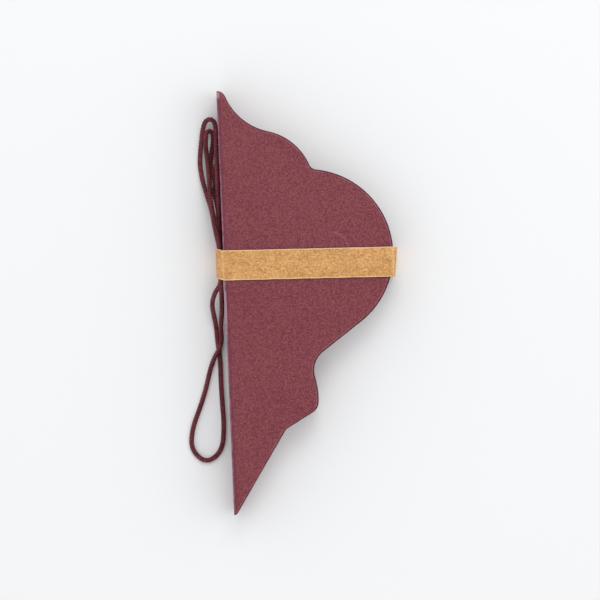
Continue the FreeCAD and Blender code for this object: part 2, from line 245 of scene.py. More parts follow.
studio = {
    "keyPlace": (0.08, 0.50, 0.68),     # soft box, beyond the hanging tip
    "keySize": 0.36,
    "keyPower": 1.5,
    "fillPlace": (0.6, 0.0, 0.7),       # broad weak light from the belly side
    "fillSize": 0.6,
    "fillPower": 0.6,
    "roomColour": (0.95, 0.97, 1.0, 1),
    "roomLight": 0.92,
    "floorWidth": 4.0,
    "floorColour": (0.86, 0.86, 0.85, 1),
    "floorShade": (0.8, 0.8, 0.8, 1),   # its slightly darker clouds
    "floorClouds": 0.02,                # how many of them there are in a millimetre
    "floorShare": 0.06,                 # how much of the darker shade they get
    "floorFinish": {"Roughness": 0.8},
}


def makeSoftBox(name, place, size, power):
    lamp = bpy.data.lights.new(name, "AREA")
    lamp.size = size
    lamp.energy = power
    holder = linkObject(name, lamp)
    holder.location = place
    holder.rotation_euler = (-Vector(place)).to_track_quat("-Z", "Y").to_euler()


def floorPaint():
    paint, tree, shader = newPaint("floorPaint", studio["floorFinish"])
    cloud = grain(tree, placeInMillimetres(tree), studio["floorClouds"])
    share = fadeBetween(tree, cloud, *grainSpan, 0.0, studio["floorShare"])
    shade = mixColours(tree, share, studio["floorColour"], studio["floorShade"])
    tree.links.new(shade, shader.inputs["Base Color"])
    return paint


def makeStudio():
    makeSoftBox("keyLight", studio["keyPlace"], studio["keySize"], studio["keyPower"])
    makeSoftBox("fillLight", studio["fillPlace"], studio["fillSize"], studio["fillPower"])
    room = bpy.data.worlds.new("room")
    room.use_nodes = True
    background = room.node_tree.nodes["Background"]
    background.inputs["Color"].default_value = studio["roomColour"]
    background.inputs["Strength"].default_value = studio["roomLight"]
    bpy.context.scene.world = room
    bpy.context.scene.view_settings.view_transform = "Standard"
    ground = bmesh.new()
    bmesh.ops.create_grid(ground, x_segments=1, y_segments=1, size=studio["floorWidth"] / 2)
    floor = finishPiece("floor", ground, floorPaint())
    print("studio: two soft boxes, a pale room and its floor")


cord = {
    "length": 301 * mm,
    "diameter": 1.2 * mm,
    "fluff": 0.02 * mm,             # how much wider than that its soft plies stand
    "plies": 3,
    "plyShare": 0.5,                # width of a ply beside the cord's
    "plyRound": 2,                  # extra steps that make a ply's section round
    "twist": 2.1 * mm,              # length of one full twist
    "step": 0.22 * mm,              # spacing of the rings along a ply
    "sharpFrom": 60,                # degrees; only the cut ends have sharp edges
    "fibreTurns": 260,              # turns of the fibres round a ply, over the whole cord
    "fibresRound": 7,
    "patches": (1.4, 2.0),          # grain of its paler and darker patches
    "shares": (0.5, 0.5),           # shares of the fibres and of the patches in its tone
    "toneSpread": (0.38, 0.62),
    "plyTop": (0.84, 0.985),        # the painted shade of the grooves ends between these heights on a ply
    # colour of the painted shade in the grooves
    "grooveShade": (0.016, 0.0020, 0.0035, 1),
    "dark": (0.088, 0.0115, 0.0165, 1),
    "light": (0.270, 0.056, 0.067, 1),
    "relief": (0.5, 0.04 * mm),     # strength and height of its fibres
    "finish": {"Roughness": 0.6, "Specular IOR Level": 0.22, "Sheen Weight": 0.06,
               "Sheen Roughness": 0.4, "Sheen Tint": (0.8, 0.4, 0.5, 1)},
}

cordRoute = [       # control points in metres: reach from the spine, rise from the tip, height
    # first end, glued to the spine, and the hidden leg down
    (0.0, -0.017, 0.0022), (-0.00075, -0.017, 0.0022), (-0.00142, -0.0174, 0.00205),
    (-0.00178, -0.0182, 0.0018), (-0.0016, -0.0198, 0.0014), (-0.00125, -0.0228, 0.0009),
    (-0.00095, -0.0276, 0.00065), (-0.00074, -0.0328, 0.00074), (-0.0008, -0.0376, 0.00103),
    # outer fold under the band, then up
    (-0.00076, -0.0426, 0.00103), (-0.0008, -0.044, 0.00347), (-0.00076, -0.0426, 0.0059),
    (-0.0008, -0.0374, 0.0059), (-0.0009, -0.0296, 0.0054), (-0.00076, -0.0214, 0.0044),
    (-0.00082, -0.0142, 0.0034), (-0.00072, -0.0099, 0.0026),
    # outer turn at the top
    (-0.00074, -0.0077, 0.00235), (-0.0012, -0.0064, 0.00225), (-0.0023, -0.006, 0.0021),
    (-0.0033, -0.0067, 0.00195), (-0.00395, -0.0087, 0.00175), (-0.0044, -0.012, 0.0014),
    (-0.005, -0.0162, 0.00085), (-0.0045, -0.0204, 0.0012), (-0.0035, -0.024, 0.0029),
    (-0.0025, -0.0276, 0.0049), (-0.00195, -0.031, 0.0064), (-0.0014, -0.0342, 0.007),
    (-0.0008, -0.0376, 0.00718), (-0.00088, -0.041, 0.00716), (-0.00082, -0.0455, 0.0071),
    # outer strand below the band, round the closed end
    (-0.0024, -0.0472, 0.006), (-0.0034, -0.05, 0.0041), (-0.0031, -0.0526, 0.0023),
    (-0.0026, -0.0556, 0.00115), (-0.0025, -0.059, 0.00062), (-0.00198, -0.0636, 0.00062),
    (-0.0021, -0.0686, 0.00062), (-0.002, -0.0732, 0.00062), (-0.00175, -0.0796, 0.00062),
    (-0.0025, -0.0853, 0.00062), (-0.0064, -0.0881, 0.00062), (-0.0099, -0.0846, 0.00062),
    (-0.0094, -0.0796, 0.00062), (-0.0071, -0.0742, 0.00062), (-0.0056, -0.0698, 0.00062),
    (-0.00495, -0.0673, 0.00064), (-0.00425, -0.0649, 0.00095), (-0.0031, -0.0624, 0.0019),
    (-0.0019, -0.0606, 0.0021), (-0.00135, -0.0584, 0.00225), (-0.00155, -0.0558, 0.0029),
    (-0.0011, -0.0528, 0.0042), (-0.00086, -0.0496, 0.0063), (-0.00084, -0.046, 0.00842),
    (-0.00086, -0.0414, 0.00842), (-0.0008, -0.0376, 0.00844),
    # inner turn at the top
    (-0.0013, -0.0344, 0.0084), (-0.00185, -0.031, 0.00765), (-0.00245, -0.0276, 0.0063),
    (-0.0027, -0.0238, 0.0044), (-0.0028, -0.02, 0.0032), (-0.00295, -0.0164, 0.0026),
    (-0.00325, -0.0132, 0.0025), (-0.00328, -0.0114, 0.0026), (-0.00314, -0.0099, 0.00275),
    (-0.0027, -0.0089, 0.00225), (-0.0018, -0.0089, 0.00115), (-0.00136, -0.0102, 0.00066),
    (-0.00175, -0.0126, 0.0007), (-0.0024, -0.0159, 0.00066), (-0.0028, -0.0198, 0.00062),
    (-0.00285, -0.0242, 0.0014), (-0.0023, -0.0284, 0.003), (-0.0014, -0.0324, 0.00412),
    (-0.0008, -0.0366, 0.00466),
    # inner fold under the band, then up to the second end
    (-0.00076, -0.0394, 0.0047), (-0.00078, -0.0419, 0.00467), (-0.0008, -0.0426, 0.00347),
    (-0.00078, -0.0419, 0.00227), (-0.00076, -0.0395, 0.00226), (-0.0008, -0.036, 0.00224),
    (-0.00074, -0.032, 0.00198), (-0.00098, -0.0282, 0.00195), (-0.0013, -0.0258, 0.002),
    (-0.00168, -0.0242, 0.00225), (-0.00178, -0.0227, 0.00252), (-0.0014, -0.0219, 0.00264),
    (-0.00075, -0.0215, 0.00267), (0.0, -0.0215, 0.00267),
]


# The points of the cord's smooth line, read from its spline
def traceRoute():
    line = bpy.data.curves.new("cordRoute", "CURVE")
    line.dimensions = "3D"
    route = line.splines.new("NURBS")
    route.points.add(len(cordRoute) - 1)
    for point, (reach, rise, height) in zip(route.points, cordRoute):
        point.co = (spineX + reach, tipY + rise, height, 1)
    route.order_u = 3
    route.use_endpoint_u = True
    line.resolution_u = 24
    holder = linkObject("cordRoute", line)
    traced = bpy.data.meshes.new_from_object(holder)
    points = [vert.co.copy() for vert in traced.vertices]
    bpy.data.objects.remove(holder)
    return points


# Places along the traced line at an even spacing
def evenSteps(points, step):
    places = [points[0]]
    left = step
    for start, end in zip(points, points[1:]):
        run = (end - start).length
        while run > left:
            start = start.lerp(end, left / run)
            places.append(start)
            run = (end - start).length
            left = step
        left -= run
    places.append(points[-1])
    return places


# One ply's line, wound round the cord's own line without a sudden turn
def plyLine(places, number):
    away = (cord["diameter"] + cord["fluff"]) / 2 * (1 - cord["plyShare"])
    side = Vector((0, 0, 1))
    line = []
    for index, place in enumerate(places):
        ahead = places[min(index + 1, len(places) - 1)] - places[max(index - 1, 0)]
        ahead.normalize()
        side = (side - ahead * side.dot(ahead)).normalized()
        turn = 2 * math.pi * (index * cord["step"] / cord["twist"] + number / cord["plies"])
        out = side * math.cos(turn) + ahead.cross(side) * math.sin(turn)
        line.append(place + out * away)
    return line


# A round skin along one ply's line
def plySkin(line, radius):
    curve = bpy.data.curves.new("ply", "CURVE")
    curve.dimensions = "3D"
    ply = curve.splines.new("POLY")
    ply.points.add(len(line) - 1)
    for point, place in zip(ply.points, line):
        point.co = (*place, 1)
    curve.bevel_depth = radius
    curve.bevel_resolution = cord["plyRound"]
    curve.use_fill_caps = True
    holder = linkObject("ply", curve)
    skin = bpy.data.meshes.new_from_object(holder)
    bpy.data.objects.remove(holder)
    return skin


# Adds one ply to the cord, marked from 0 at the cord's middle to 1 at its outside, for the painted
# shade in its grooves
def addPly(shape, line, places):
    radius = (cord["diameter"] + cord["fluff"]) * cord["plyShare"] / 2
    skin = plySkin(line, radius)
    outside = skin.attributes.new("outside", "FLOAT", "POINT")
    ring = len(skin.vertices) / len(line)
    inner = (line[0] - places[0]).length - radius
    for number, vert in enumerate(skin.vertices):
        place = places[min(int(number / ring), len(places) - 1)]
        outside.data[number].value = ((vert.co - place).length - inner) / (2 * radius)
    shape.from_mesh(skin)


# Fibres that run along a ply and wind round it, on the skin's own map
def woundFibres(tree):
    along = addNode(tree, "ShaderNodeUVMap", {"uv_map": "UVMap"})
    split = splitPlace(tree, along.outputs[0])
    wound = compute(tree, "MULTIPLY_ADD", split["X"], cord["fibreTurns"], split["Y"])
    place = addNode(tree, "ShaderNodeCombineXYZ", X=split["X"], Y=wound)
    fineness = (cord["length"] / mm, cord["fibresRound"], 1)
    return grain(tree, mapped(tree, place.outputs[0], Scale=fineness), 1.0)


# Dyed cotton: fine fibres in patches of two tones, with painted shade in the grooves between the
# plies
def cordPaint():
    paint, tree, shader = newPaint("dyedCotton", cord["finish"])
    fibre = woundFibres(tree)
    patch = grain(tree, placeInMillimetres(tree), *cord["patches"])
    tone = addUp(tree, *zip((fibre, patch), cord["shares"]))
    colour = mixColours(tree, fadeBetween(tree, tone, *cord["toneSpread"]),
                        cord["dark"], cord["light"])
    # painted shade where a ply's skin lies low, in the grooves
    top = fadeBetween(tree, marked(tree, "outside"), *cord["plyTop"])
    tree.links.new(mixColours(tree, top, cord["grooveShade"], colour), shader.inputs["Base Color"])
    addBump(tree, shader, fibre, *cord["relief"])
    return paint


def makeCord():
    line = traceRoute()
    places = evenSteps(line, cord["step"])
    shape = bmesh.new()
    for number in range(cord["plies"]):
        addPly(shape, plyLine(places, number), places)
    piece = finishPiece("twistedCord", shape, cordPaint(), cord["sharpFrom"])
    dress(piece, "cord", "hanging_cord")
    print("cord:", len(places), "steps,", len(piece.data.polygons), "faces")


burgundy = {    # the dyed paper of the leaves and the covers
    "deep": (0.134, 0.0180, 0.0262, 1),
    "middle": (0.193, 0.0395, 0.0505, 1),
    "pale": (0.256, 0.0660, 0.0805, 1),
    "toneSpread": (0.42, 0.5, 0.58),    # where its pattern is deep, middle and pale
    "fibres": (3.4, 4.0, 0.7),          # grains in a millimetre, their detail and roughness
    "mottle": (1.0, 3.0),
    "cloud": (0.07, 2.0),
    "shares": (0.87, 0.08, 0.05),       # shares of those three in its pattern
}


# Mottled colour of the dyed paper, from clouds down to single fibres
def burgundyTone(tree, place):
    patterns = [grain(tree, place, *burgundy[name]) for name in ("fibres", "mottle", "cloud")]
    tone = addUp(tree, *zip(patterns, burgundy["shares"]))
    return threeTones(tree, tone, burgundy), patterns[0]


leaf = {
    "thickness": 0.13 * mm,                 # a little under their spacing, so that gaps show
    "longestEdge": 4 * mm,
    "waveHeight": 0.045 * mm,
    "waveLength": 14 * mm,
    "waveDrift": 0.35,                      # how much the wave changes from one leaf to the next
    "waveAtSpine": 0.3,                     # share of the wave that is left at the glued spine
    "settle": 8,                            # leaves over which the waves die out toward the boards
    "misfit": 0.12 * mm,                    # how far the outer edges stray
    "seed": 7,
    "paintedEdgeShade": (0.075, 0.018, 0.028, 1),  # painted shade along the stack's cut edges
    "shadeScale": (0.12, 0.12, 4.5),        # it changes fast from leaf to leaf
    "shadeGrain": (1.0, 2.0),
    "shadeSpread": (0.35, 0.65),
    "shadeShare": (0.1, 0.65),              # least and most of it in a leaf's colour
    "relief": (0.4, 0.03 * mm),
    "finish": {"Roughness": 0.75, "Specular IOR Level": 0.3},
}


# Leaf paper: painted shade darkens its cut edges, by a share that differs a little from leaf to
# leaf
def leafPaint():
    paint, tree, shader = newPaint("burgundyLeaf", leaf["finish"])
    place = placeInMillimetres(tree)
    colour, fibres = burgundyTone(tree, place)
    byLeaf = grain(tree, mapped(tree, place, Scale=leaf["shadeScale"]), *leaf["shadeGrain"])
    shade = fadeBetween(tree, byLeaf, *leaf["shadeSpread"], *leaf["shadeShare"])
    # painted shade along the stack's edge, stronger on some leaves than others
    colour = mixColours(tree, shade, colour, leaf["paintedEdgeShade"])
    tree.links.new(colour, shader.inputs["Base Color"])
    addBump(tree, shader, fibres, *leaf["relief"])
    return paint


def makeLeaf(number, name, paint, chance):
    shape = mergedCopy(name)
    splitLongEdges(shape, leaf["longestEdge"])
    low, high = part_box(name)
    underside = (low.z + high.z - leaf["thickness"]) / 2
    stray = Vector((chance.uniform(-1, 1), chance.uniform(-1, 1))) * leaf["misfit"]
    fromBoard = min(number - 1, len(leafNames) - number)
    waveHeight = leaf["waveHeight"] * min(1.0, fromBoard / leaf["settle"])
    for vert in shape.verts:
        reach = (vert.co.x - spineX) / (high.x - low.x)
        wave = noise.noise(Vector((vert.co.x / leaf["waveLength"], vert.co.y / leaf["waveLength"],
                                   number * leaf["waveDrift"])))
        level = leaf["thickness"] if vert.co.z > (low.z + high.z) / 2 else 0.0
        vert.co.z = underside + level + wave * waveHeight * (leaf["waveAtSpine"] + reach)
        vert.co.x += stray.x * reach
        vert.co.y += stray.y * reach
    piece = finishPiece(f"paperLeaf{number:02d}", shape, paint)
    dress(piece, "leaf_paper", name)
    return piece


def makeLeaves():
    chance = random.Random(leaf["seed"])
    paint = leafPaint()
    for number, name in enumerate(leafNames, start=1):
        piece = makeLeaf(number, name, paint, chance)
    print("leaves:", len(leafNames), "sheets,", len(piece.data.vertices), "points in the last")


wearAndPaintedLight = {    # where the covers are rubbed, where painted highlight lies and where painted shade lies; distances are in millimetres
    "coreAndHighlight": (0.42, 0.19, 0.235, 1),             # the paper's paler core, also the colour of the painted highlight
    "pressedLineShade": (0.118, 0.0220, 0.0480, 1),      # painted shade along a pressed line beside the spine
    "rimShow": (0.25, 1.0),                     # how the mark of the cut edge turns to rub and painted highlight
    "grooveShade": (0.6, 1.0, 0.65),                 # reach of the painted shade along the pressed line, its end, its strength
    "spine": (0.26, 0.38),                      # reach and end of the rubbed line with painted highlight on the spine
    "fainterEnd": (12.0, 20.0),                   # rub and painted highlight are fainter this near the hanging tip
    "fainterShare": (0.35, 0.6),                  # strength there, and past it
    "strongestStretch": (46.0, 48.5, 55.0, 58.5),    # and strongest between these distances from that tip
    "paleLineShare": 1.2,
    "tip": (1.3, 2.6, 1.4),                     # reach, end and strength of the rub and painted highlight at that tip
    "tipReach": (0.55, 0.85),                   # it stays this close to the spine
    "ring": (0.08, 0.24, 0.42),                 # painted highlight on each side of the magnet's edge
    "ringSide": (-0.5, 2.5),                    # the painted highlight comes in here, on the side away from the spine
    "ringGaps": (0.45, 2.0),                    # grain that breaks it up
    "ringSpread": (0.4, 0.55),
    "ringShare": (0.25, 1.0),
    "smallPatches": (1.1, 3.0),                 # grain of small and of broad patches of rub and painted highlight
    "broadPatches": (0.2, 2.0),
    "patchShares": (0.45, 0.55),
    "patchSpread": (0.42, 0.56),
    "paleColourShow": (0.3, 0.95),                    # least and most of the pale core colour that shows
}


# Distances in millimetres from the spine's plane, and from the hanging tip
def markDistances(tree, place):
    split = splitPlace(tree, place)
    reach = addUp(tree, (split["X"], 1.0), start=-spineX / mm)
    flat = addNode(tree, "ShaderNodeCombineXYZ", X=split["X"], Y=split["Y"])
    apart = compute(tree, "DISTANCE", flat.outputs[0], (spineX / mm, tipY / mm, 0),
                    kind="ShaderNodeVectorMath")
    return reach, apart


# Strength of the rub and painted highlight along the spine, by the distance from the hanging tip
def spineRubAndHighlight(tree, apart):
    start, full, fading, end = wearAndPaintedLight["strongestStretch"]
    stretch = product(tree, fadeBetween(tree, apart, start, full),
                      fadeOut(tree, apart, fading, end))
    usual = fadeBetween(tree, apart, *wearAndPaintedLight["fainterEnd"], *wearAndPaintedLight["fainterShare"])
    return addUp(tree, (usual, 1.0), (stretch, wearAndPaintedLight["paleLineShare"]))


# Painted highlight along the magnet's raised edge, strongest on the side away from the spine
def ringHighlight(tree, place):
    low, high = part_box("front_magnet")
    centre = (low + high) / 2 / mm
    radius = (high.x - low.x) / 2 / mm
    moved = mapped(tree, place, Location=(-centre.x, -centre.y, 0), Scale=(1, 1, 0))
    length = compute(tree, "LENGTH", moved, kind="ShaderNodeVectorMath")
    line = fadeOut(tree, apartFrom(tree, length, radius), *wearAndPaintedLight["ring"])
    broken = fadeBetween(tree, grain(tree, place, *wearAndPaintedLight["ringGaps"]),
                         *wearAndPaintedLight["ringSpread"], *wearAndPaintedLight["ringShare"])
    side = fadeBetween(tree, splitPlace(tree, moved)["X"], *wearAndPaintedLight["ringSide"])
    return product(tree, product(tree, line, side), broken)


# All the places of pale core colour: rub and painted highlight on its rim, its spine and its tip,
# painted highlight on the magnet's edge
def rubbedAndLitPlaces(tree, place, reach, apart):
    spine = product(tree, fadeOut(tree, reach, *wearAndPaintedLight["spine"]), spineRubAndHighlight(tree, apart))
    tip = product(tree, fadeOut(tree, apart, *wearAndPaintedLight["tip"]),
                  fadeOut(tree, reach, *wearAndPaintedLight["tipReach"]))
    rim = fadeBetween(tree, marked(tree, "rim"), *wearAndPaintedLight["rimShow"])
    rubbedAndLit = strongest(tree, rim, strongest(tree, spine, tip))
    return strongest(tree, rubbedAndLit, ringHighlight(tree, place))


# Share of the paler core colour that shows, in patches, where the cover is rubbed and where
# painted highlight lies
def coreAndHighlightShare(tree, place, reach, apart):
    rubbedAndLit = rubbedAndLitPlaces(tree, place, reach, apart)
    grains = [grain(tree, place, *wearAndPaintedLight[name]) for name in ("smallPatches", "broadPatches")]
    patchy = addUp(tree, *zip(grains, wearAndPaintedLight["patchShares"]))
    show = fadeBetween(tree, patchy, *wearAndPaintedLight["patchSpread"], *wearAndPaintedLight["paleColourShow"])
    return product(tree, rubbedAndLit, show)


cover = {
    "shortestEdge": 0.18 * mm,  # the outline's finest steps at the tips are joined up to this
    "edgeRound": 0.12 * mm,     # rounding of the cut edge
    "roundSteps": 3,
    "rimWidth": 0.25 * mm,      # plain strip between that and the cuts
    "cutSpacing": 1.2 * mm,     # spacing of the cuts that let the sheet follow its waves
    "waveHeight": 0.03 * mm,
    "waveLength": 16 * mm,
    "waveApart": 40 * mm,       # keeps the waves of the two covers different
    "magnetRise": 0.03 * mm,    # faint swelling over the magnet
    "magnetFade": 0.5 * mm,
    "magnetCuts": 3,
    "magnetCutReach": 3,        # extra cuts go this many spacings past the magnet
    "flatFrom": 0.98,           # a face is flat where its normal's height is above this
    "rimFrom": 0.985,           # and belongs to the rounded rim below this
    "glossGrain": (1.3, 2.0),
    "gloss": (0.5, 0.66),       # least and most roughness
    "relief": (0.35, 0.03 * mm),
    "finish": {"Specular IOR Level": 0.25},
}


# Cover paper: mottled, a little glossy, rubbed paler with painted highlight along its edges, and
# with painted shade along a pressed line beside the spine
def coverPaint():
    paint, tree, shader = newPaint("burgundyCover", cover["finish"])
    place = placeInMillimetres(tree)
    colour, fibres = burgundyTone(tree, place)
    reach, apart = markDistances(tree, place)
    # painted shade along the pressed line beside the spine
    colour = mixColours(tree, fadeOut(tree, reach, *wearAndPaintedLight["grooveShade"]), colour, wearAndPaintedLight["pressedLineShade"])
    # pale core colour: rub, and painted highlight on the rim, the spine, the tip and the magnet's
    # edge
    colour = mixColours(tree, coreAndHighlightShare(tree, place, reach, apart), colour, wearAndPaintedLight["coreAndHighlight"])
    tree.links.new(colour, shader.inputs["Base Color"])
    gloss = fadeBetween(tree, grain(tree, place, *cover["glossGrain"]),
                        *grainSpan, *cover["gloss"])
    tree.links.new(gloss, shader.inputs["Roughness"])
    addBump(tree, shader, fibres, *cover["relief"])
    return paint


def largestFlat(shape, outward):
    return max(shape.faces, key=lambda face: face.normal.z * outward * face.calc_area())


# Only the outer face of a sheet's solid, with its finest steps joined
def outerFace(node, outward):
    shape = mergedCopy(node)
    kept = largestFlat(shape, outward)
    others = [face for face in shape.faces if face is not kept]
    bmesh.ops.delete(shape, geom=others, context="FACES")
    bmesh.ops.remove_doubles(shape, verts=shape.verts, dist=cover["shortestEdge"])
    return shape


# Rounds the outer face's edge, from its side up to the flat
def roundEdge(shape, outward):
    radius = cover["edgeRound"]
    done = 0.0
    for step in range(1, cover["roundSteps"] + 1):
        angle = math.pi / 2 * step / cover["roundSteps"]
        inset = radius * (1 - math.cos(angle))
        rise = radius * (math.sin(angle) - math.sin(angle - math.pi / 2 / cover["roundSteps"]))
        bmesh.ops.inset_region(shape, faces=[largestFlat(shape, outward)], depth=rise,
                               thickness=inset - done, use_even_offset=True)
        done = inset


# Gives the outer face a rounded edge and the sheet's thickness below it
def roundRim(shape, outward, thickness):
    radius = cover["edgeRound"]
    sheetEdge = shape.edges[:]
    bmesh.ops.translate(shape, verts=shape.verts, vec=(0, 0, -outward * radius))
    roundEdge(shape, outward)
    grown = bmesh.ops.extrude_edge_only(shape, edges=sheetEdge)["geom"]
    bmesh.ops.translate(shape, verts=onlyKind(grown, bmesh.types.BMVert),
                        vec=(0, 0, -outward * (thickness - radius)))
    bmesh.ops.contextual_create(shape, geom=onlyKind(grown, bmesh.types.BMEdge))
    bmesh.ops.recalc_face_normals(shape, faces=shape.faces)


# Cuts one flat face into squares
def cutGrid(shape, face, spacing):
    corners = [vert.co for vert in face.verts]
    faces = [face]
    for axis in (0, 1):
        normal = Vector((axis == 0, axis == 1, 0))
        place = min(corner[axis] for corner in corners) + spacing
        end = max(corner[axis] for corner in corners)
        count = int((end - place) / spacing)
        for step in range(count + 1):
            edges = [edge for item in faces for edge in item.edges]
            verts = [vert for item in faces for vert in item.verts]
            around = list(dict.fromkeys(faces + edges + verts))     # each one once, in order
            cut = bmesh.ops.bisect_plane(shape, geom=around, plane_no=normal,
                                         plane_co=normal * (place + step * spacing))
            faces = onlyKind(cut["geom"], bmesh.types.BMFace)


# More cuts in the flat faces over the magnet, for its round edge
def refineNear(shape, centre, reach, cuts):
    near = [edge for edge in shape.edges
            if all((vert.co.xy - centre).length < reach for vert in edge.verts)
            and all(abs(face.normal.z) > cover["flatFrom"] for face in edge.link_faces)]
    bmesh.ops.subdivide_edges(shape, edges=near, cuts=cuts, use_grid_fill=True)


# Marks the rounded edge, for the paler line of rub and painted highlight along it
def markRim(shape):
    rim = shape.verts.layers.float.new("rim")
    for vert in shape.verts:
        flat = all(abs(face.normal.z) > cover["rimFrom"] for face in vert.link_faces)
        vert[rim] = 0.0 if flat else 1.0


# Slow waves over the sheet and a faint disc over the magnet
def swellCover(shape, outward, outerLevel, magnetCentre, magnetRadius):
    rim = shape.verts.layers.float["rim"]
    for vert in shape.verts:
        if vert[rim] > 0 or abs(vert.co.z - outerLevel) > levelWithin:
            continue
        place = Vector((vert.co.x, vert.co.y, outward * cover["waveApart"]))
        wave = noise.noise(place / cover["waveLength"])
        apart = (vert.co.xy - magnetCentre).length - magnetRadius
        disc = eased(0.5 - apart / cover["magnetFade"])
        vert.co.z += outward * (wave * cover["waveHeight"] + disc * cover["magnetRise"])


def makeCover(side, outward, paint):
    node = f"{side}_facing"
    low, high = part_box(node)
    magnetLow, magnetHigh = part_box(f"{side}_magnet")
    centre = ((magnetLow + magnetHigh) / 2).xy
    radius = (magnetHigh.x - magnetLow.x) / 2
    shape = outerFace(node, outward)
    roundRim(shape, outward, high.z - low.z)
    bmesh.ops.inset_region(shape, faces=[largestFlat(shape, outward)],
                           thickness=cover["rimWidth"], use_even_offset=True)
    cutGrid(shape, largestFlat(shape, outward), cover["cutSpacing"])
    refineNear(shape, centre, radius + cover["magnetCutReach"] * cover["cutSpacing"],
               cover["magnetCuts"])
    markRim(shape)
    swellCover(shape, outward, high.z if outward > 0 else low.z, centre, radius)
    piece = finishPiece(f"{side}Cover", shape, paint)
    dress(piece, "cover_paper", node)
    print(side, "cover:", len(piece.data.polygons), "faces")


board = {
    "dark": (0.13, 0.075, 0.075, 1),
    "light": (0.33, 0.24, 0.23, 1),
    "layerScale": (0.5, 0.5, 6.0),  # thin flat layers
    "layers": (1.0, 4.0),
    "fibres": (3.0, 3.0),
    "shares": (0.6, 0.4),
    "toneSpread": (0.36, 0.64),
    "relief": (0.6, 0.05 * mm),
    "finish": {"Roughness": 0.85},
}


# Grey board: pressed layers of fibre along its cut edge
def boardPaint():
    paint, tree, shader = newPaint("greyBoard", board["finish"])
    place = placeInMillimetres(tree)
    layers = grain(tree, mapped(tree, place, Scale=board["layerScale"]), *board["layers"])
    fibres = grain(tree, place, *board["fibres"])
    tone = addUp(tree, *zip((layers, fibres), board["shares"]))
    colour = mixColours(tree, fadeBetween(tree, tone, *board["toneSpread"]),
                        board["dark"], board["light"])
    tree.links.new(colour, shader.inputs["Base Color"])
    addBump(tree, shader, tone, *board["relief"])
    return paint


magnet = {
    "marks": 5.0,           # turning marks in a millimetre
    "gloss": (0.22, 0.38),  # least and most roughness
    "finish": {"Base Color": (0.62, 0.62, 0.64, 1), "Metallic": 1.0},
}


# Bright plated metal with fine turning marks
def magnetPaint():
    paint, tree, shader = newPaint("platedMagnet", magnet["finish"])
    marks = grain(tree, placeInMillimetres(tree), magnet["marks"])
    gloss = fadeBetween(tree, marks, *grainSpan, *magnet["gloss"])
    tree.links.new(gloss, shader.inputs["Roughness"])
    return paint


def paintNode(name, paint):
    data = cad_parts[name].data
    data.materials.clear()
    data.materials.append(paint)


def makeCovers():
    paper = coverPaint()
    boardFinish = boardPaint()
    metal = magnetPaint()
    for side, outward in (("front", 1), ("back", -1)):
        makeCover(side, outward, paper)
        paintNode(f"{side}_board", boardFinish)
        paintNode(f"{side}_magnet", metal)


band = {
    "layer": 0.2 * mm,                  # height of one layer of the band
    "thickness": 0.14 * mm,
    "foldRound": 0.8 * mm,              # rounding of the folds at the belly side
    "cornerRound": 0.5 * mm,            # rounding of the folds at the spine side
    "foldSteps": 6,
    "edgeGap": 0.15 * mm,               # the fold at the front, outside the spine
    "slant": 1.0 * mm,                  # height of the slanting run over the cord
    "lapStart": 12 * mm,                # the glued lap underneath, measured from the spine
    "lapEnd": 22 * mm,
    "lapRamp": 1 * mm,
    "rows": 12,
    "longestRun": 0.8 * mm,
    "skew": 1.05,                       # degrees that the band sits askew
    "lift": 0.22 * mm,                  # how far its front stands off the cover
    "liftReach": 2.5 * mm,              # and how far from the folds it gets there
    "frontDepth": 1.5,                  # layers down from the top that count as its front
    "sidePush": 0.5 * mm,               # how far its slanting run is pushed toward the hanging tip
    "bellyLean": 0.8 * mm,              # how far its belly end leans in at the lower cut edge
    "leanReach": 3 * mm,                # and how far from that end the lean starts
    "waveLength": 9 * mm,
    "sideWaves": 0.3,                   # waves run slower down its sides
    "looseness": 0.04 * mm,             # how far the front wanders
    "loosenessWaves": 1.7,
    "edgeWaver": 0.05 * mm,             # how far its cut edges stray from a straight line
    "waverWaves": 3,
    "edgeWidth": 0.3 * mm,              # width of the painted highlight along its cut edges
    "spineCrease": -19.75,              # places of the two creases at its front, in mm
    "bellyCrease": 20.25,
    "crease": (0.05, 0.4, 0.4),         # reach and end in mm of the painted highlight on the creases, and its strength
    "deep": (0.42, 0.195, 0.062, 1),
    "middle": (0.585, 0.295, 0.101, 1),
    "pale": (0.74, 0.42, 0.165, 1),
    "speck": (0.30, 0.125, 0.045, 1),
    # colour of the painted highlight along the cut edges and the creases
    "edge": (0.86, 0.60, 0.33, 1),
    "toneSpread": (0.41, 0.5, 0.59),    # where its pattern is deep, middle and pale
    "fine": (2.8, 4.0, 0.65),           # grains in a millimetre, their detail, roughness
    "fibreScale": (0.7, 3.2, 1.5),      # long fibres, a little turned
    "fibreTurn": 20,
    "cloud": (0.25, 2.0),
    "shares": (0.6, 0.25, 0.15),        # shares of fine grain, fibres and clouds
    "specks": (1.9, 2.0, 0.5),
    "speckSpread": (0.66, 0.74),
    "speckShare": 0.6,
    "highlightShow": (0.1, 0.8),             # how the mark of the cut edges turns to painted highlight
    "paleLineShare": 0.8,
    "relief": (0.4, 0.04 * mm),
    "finish": {"Roughness": 0.8, "Specular IOR Level": 0.3},
}


# Outer line of the strip, from the lap's free end round to its hidden end
def bandCorners():
    low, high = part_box("paper_band")
    layer = low.z + band["layer"]
    lapEnd = spineX + band["lapEnd"]
    return [(spineX + band["lapStart"], low.z, 0), (lapEnd, low.z, 0),
            (lapEnd + band["lapRamp"], layer, 0), (high.x, layer, band["foldRound"]),
            (high.x, high.z, band["foldRound"]),
            (spineX - band["edgeGap"], high.z, band["cornerRound"]),
            (low.x, high.z - band["slant"], band["cornerRound"]),
            (low.x, layer, band["cornerRound"]), (lapEnd - band["lapRamp"], layer, 0)]


